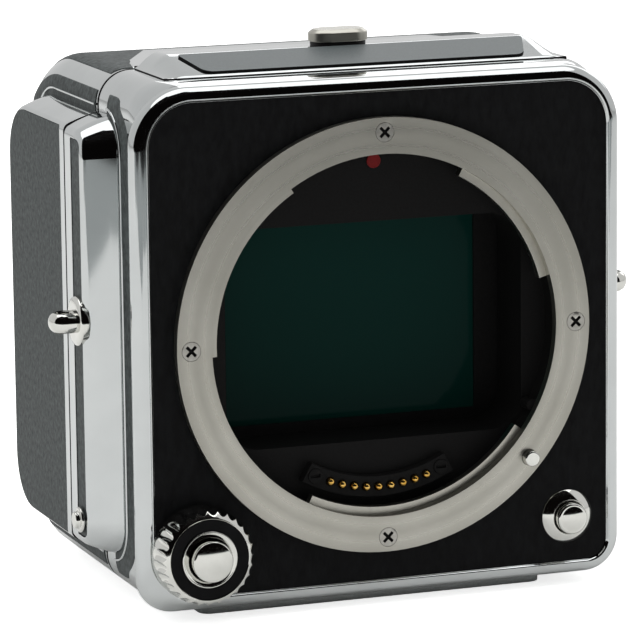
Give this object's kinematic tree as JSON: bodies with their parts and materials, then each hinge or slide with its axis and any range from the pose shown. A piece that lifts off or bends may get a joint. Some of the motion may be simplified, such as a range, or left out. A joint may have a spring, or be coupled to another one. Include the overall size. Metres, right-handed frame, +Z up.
{
  "type": "medium format digital camera",
  "caption": "Chrome and leather medium format camera body with an open bayonet lens mount, knurled front dial, strap lugs and a tilting digital back with a flip-out rear screen.",
  "frame": {"origin": "mouth of the tripod socket on the underside of the foot", "axes": "+X to the right seen from the front, +Y from the lens mount back to the screen, +Z up"},
  "size_m": [0.102, 0.0847, 0.0933],
  "materials": {
    "chrome": "polished chrome plate",
    "front_leather": "fine grained black leatherette",
    "side_leather": "pebbled black leatherette",
    "polished_steel": "polished",
    "satin_nickel": "turned satin",
    "steel": "machined",
    "black_metal": "matt black",
    "black_plastic": "moulded",
    "gold_plate": "gold plated",
    "red_paint": "enamel",
    "name_plate": "satin black",
    "grey_alloy": "anodised",
    "circuit_board": "solder mask",
    "bare_alloy": "milled",
    "sensor_filter": "coated",
    "cover_glass": "coated glass",
    "battery_plastic": "moulded",
    "rear_black": "fine sparked",
    "screen_glass": "coated glass",
    "button_rubber": "soft touch"
  },
  "bodies": {
    "camera_body": {"front_frame": "chrome", "front_leather": "front_leather", "side_strip_leather": "side_leather", "side_rail_left": "chrome", "side_rail_right": "chrome", "rail_strip_leather": "side_leather", "strap_lug_left": "polished_steel", "strap_lug_right": "polished_steel", "grip_stud": "polished_steel", "lens_mount_ring": "satin_nickel", "mount_screws": "steel", "baffle_plate": "black_metal", "contact_block": "black_plastic", "block_screws": "black_plastic", "index_dot": "red_paint", "release_bezel": "polished_steel", "dial_hub": "polished_steel", "control_board": "circuit_board", "top_ridge": "chrome", "name_plate": "name_plate", "foot_plate": "grey_alloy", "foot_screws": "steel", "tripod_bush": "steel", "rear_frame": "black_metal", "back_hooks": "polished_steel"},
    "dial": {"control_dial": "polished_steel", "dial_face_ring": "black_plastic"},
    "shutter": {"shutter_button": "polished_steel"},
    "lens_release": {"release_button": "polished_steel", "release_yoke": "steel", "lock_pin": "polished_steel"},
    "contacts": {"contact_pins": "gold_plate"},
    "back_release": {"release_slide": "polished_steel"},
    "digital_back": {"back_shell": "chrome", "back_top_leather": "side_leather", "back_side_leather": "side_leather", "sensor_frame": "black_metal", "sensor_glass": "cover_glass", "sensor": "sensor_filter", "sensor_board": "circuit_board", "heat_block": "bare_alloy", "main_board": "circuit_board", "card_socket": "steel", "door_pin": "steel", "rear_panel": "rear_black", "panel_screws": "steel", "screen_ears": "steel"},
    "side_door": {"card_door": "chrome", "door_leather": "side_leather"},
    "battery_pack": {"battery": "battery_plastic", "battery_cap": "battery_plastic"},
    "battery_catch": {"battery_latch": "battery_plastic"},
    "screen": {"screen_housing": "rear_black", "screen_glass": "screen_glass"},
    "button_1": {"rear_button_1": "button_rubber"},
    "button_2": {"rear_button_2": "button_rubber"},
    "button_3": {"rear_button_3": "button_rubber"},
    "button_4": {"rear_button_4": "button_rubber"},
    "button_5": {"rear_button_5": "button_rubber"}
  },
  "joints": [
    {"name": "dial_turn", "type": "hinge", "parent": "camera_body", "child": "dial", "pos_m": [-0.0324, -0.0164, 0.0121], "axis": [0, 1, 0], "continuous": true},
    {"name": "shutter_press", "type": "slide", "parent": "camera_body", "child": "shutter", "axis": [0, 1, 0], "range_m": [0, 0.0012], "stiffness_N_per_m": 800},
    {"name": "lens_release_press", "type": "slide", "parent": "camera_body", "child": "lens_release", "axis": [0, 1, 0], "range_m": [0, 0.0015], "stiffness_N_per_m": 900},
    {"name": "contact_press", "type": "slide", "parent": "camera_body", "child": "contacts", "axis": [0, 1, 0], "range_m": [0, 0.0006], "stiffness_N_per_m": 1500},
    {"name": "back_release_slide", "type": "slide", "parent": "camera_body", "child": "back_release", "axis": [1, 0, 0], "range_m": [0, 0.004], "stiffness_N_per_m": 250},
    {"name": "back_tilt", "type": "hinge", "parent": "camera_body", "child": "digital_back", "pos_m": [0, 0.0106, 0.0018], "axis": [-1, 0, 0], "range_deg": [0, 12]},
    {"name": "door_swing", "type": "hinge", "parent": "digital_back", "child": "side_door", "pos_m": [0.0451, 0.0387, 0.04465], "axis": [0, 0, 1], "range_deg": [0, 100]},
    {"name": "battery_slide", "type": "slide", "parent": "digital_back", "child": "battery_pack", "axis": [0, 0, -1], "range_m": [0, 0.05]},
    {"name": "battery_latch_slide", "type": "slide", "parent": "digital_back", "child": "battery_catch", "axis": [1, 0, 0], "range_m": [0, 0.003], "stiffness_N_per_m": 200},
    {"name": "screen_tilt", "type": "hinge", "parent": "digital_back", "child": "screen", "pos_m": [0, 0.05875, 0.0727], "axis": [1, 0, 0], "range_deg": [0, 90]},
    {"name": "button_1_press", "type": "slide", "parent": "digital_back", "child": "button_1", "axis": [0, -1, 0], "range_m": [0, 0.0006], "stiffness_N_per_m": 500},
    {"name": "button_2_press", "type": "slide", "parent": "digital_back", "child": "button_2", "axis": [0, -1, 0], "range_m": [0, 0.0006], "stiffness_N_per_m": 500},
    {"name": "button_3_press", "type": "slide", "parent": "digital_back", "child": "button_3", "axis": [0, -1, 0], "range_m": [0, 0.0006], "stiffness_N_per_m": 500},
    {"name": "button_4_press", "type": "slide", "parent": "digital_back", "child": "button_4", "axis": [0, -1, 0], "range_m": [0, 0.0006], "stiffness_N_per_m": 500},
    {"name": "button_5_press", "type": "slide", "parent": "digital_back", "child": "button_5", "axis": [0, -1, 0], "range_m": [0, 0.0006], "stiffness_N_per_m": 500}
  ]
}
